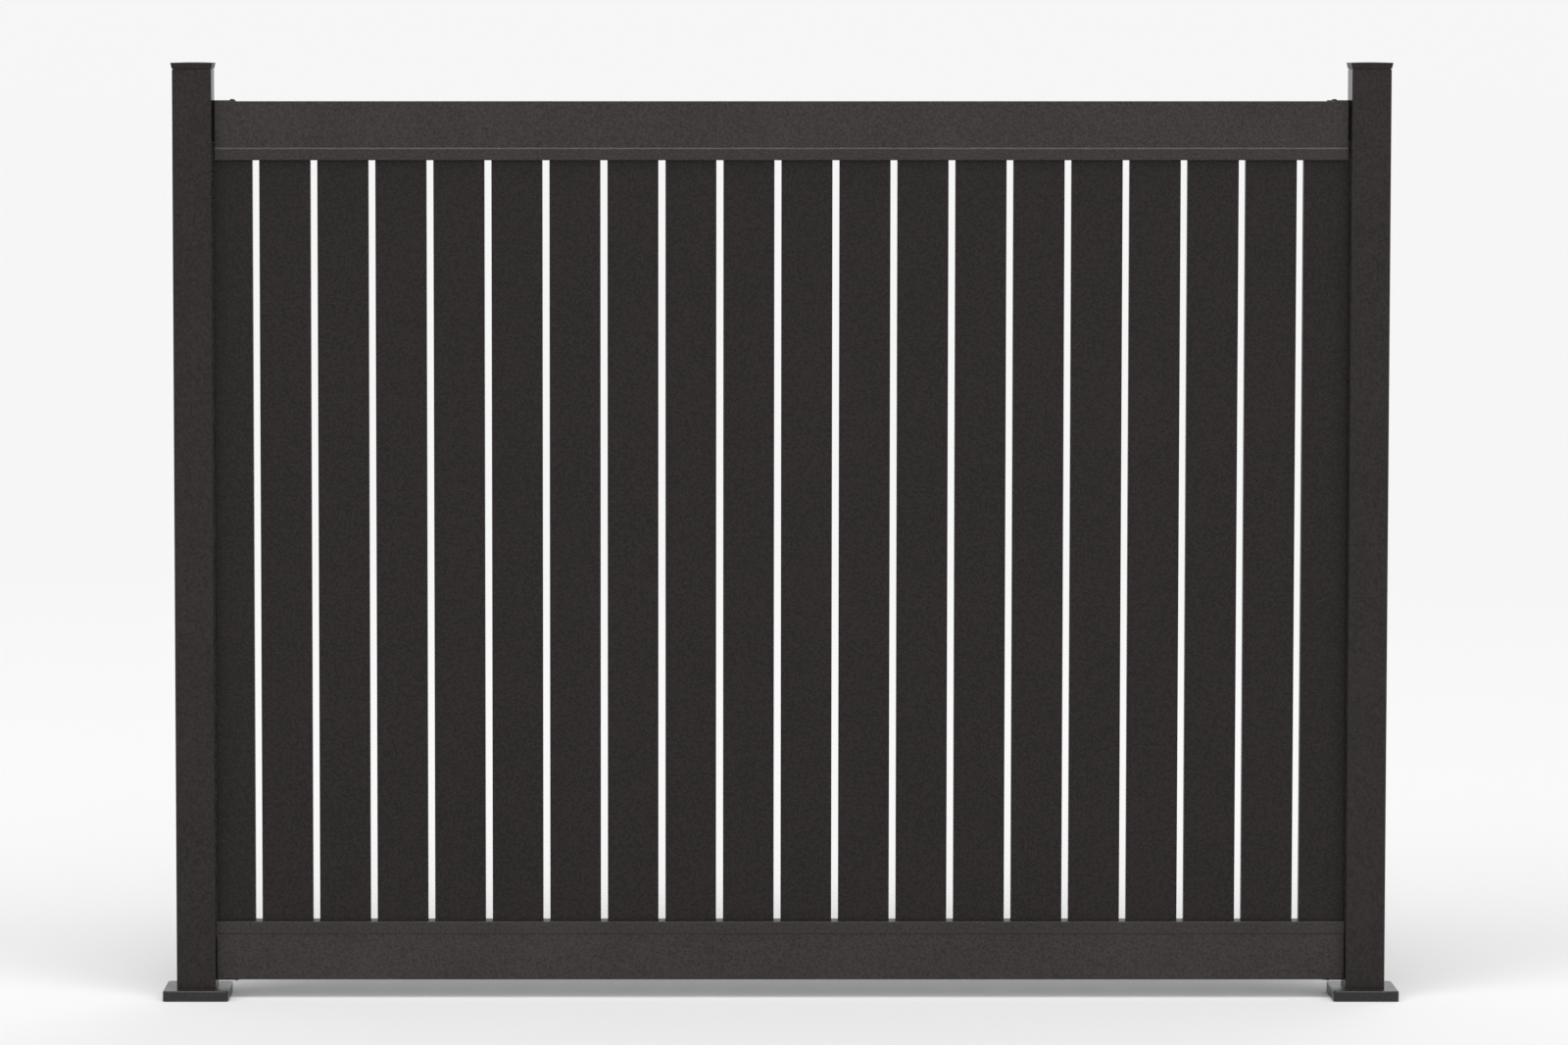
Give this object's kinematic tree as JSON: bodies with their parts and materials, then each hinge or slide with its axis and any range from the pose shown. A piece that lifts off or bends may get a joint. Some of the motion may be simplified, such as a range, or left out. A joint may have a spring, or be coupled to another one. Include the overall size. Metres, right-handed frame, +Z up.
{
  "type": "aluminium fence panel",
  "caption": "Near-solid aluminium fence panel: vertical hollow slats between a top and a bottom rail, carried by two square posts with flared caps and covered bolt-down feet.",
  "frame": {"origin": "centre of the left post's base plate on its underside, at ground level", "axes": "+X along the panel towards the right post, -Y out of the front seen in the picture, +Z up"},
  "size_m": [1.584, 0.084, 1.2007],
  "materials": {
    "post_coat": "satin",
    "cap_coat": "satin",
    "plate_coat": "matte",
    "foot_coat": "satin",
    "rail_coat": "satin",
    "bracket_coat": "satin",
    "slat_coat": "satin"
  },
  "bodies": {
    "root": {"left_post": "post_coat", "right_post": "post_coat", "left_post_cap": "cap_coat", "right_post_cap": "cap_coat", "left_base_plate": "plate_coat", "right_base_plate": "plate_coat", "left_base_cover": "foot_coat", "right_base_cover": "foot_coat", "top_rail": "rail_coat", "bottom_rail": "rail_coat", "top_rail_cover": "rail_coat", "bottom_rail_cover": "rail_coat", "top_left_bracket": "bracket_coat", "top_right_bracket": "bracket_coat", "bottom_left_bracket": "bracket_coat", "bottom_right_bracket": "bracket_coat", "slat_01": "slat_coat", "slat_02": "slat_coat", "slat_03": "slat_coat", "slat_04": "slat_coat", "slat_05": "slat_coat", "slat_06": "slat_coat", "slat_07": "slat_coat", "slat_08": "slat_coat", "slat_09": "slat_coat", "slat_10": "slat_coat", "slat_11": "slat_coat", "slat_12": "slat_coat", "slat_13": "slat_coat", "slat_14": "slat_coat", "slat_15": "slat_coat", "slat_16": "slat_coat", "slat_17": "slat_coat", "slat_18": "slat_coat", "slat_19": "slat_coat", "slat_20": "slat_coat"}
  },
  "joints": []
}
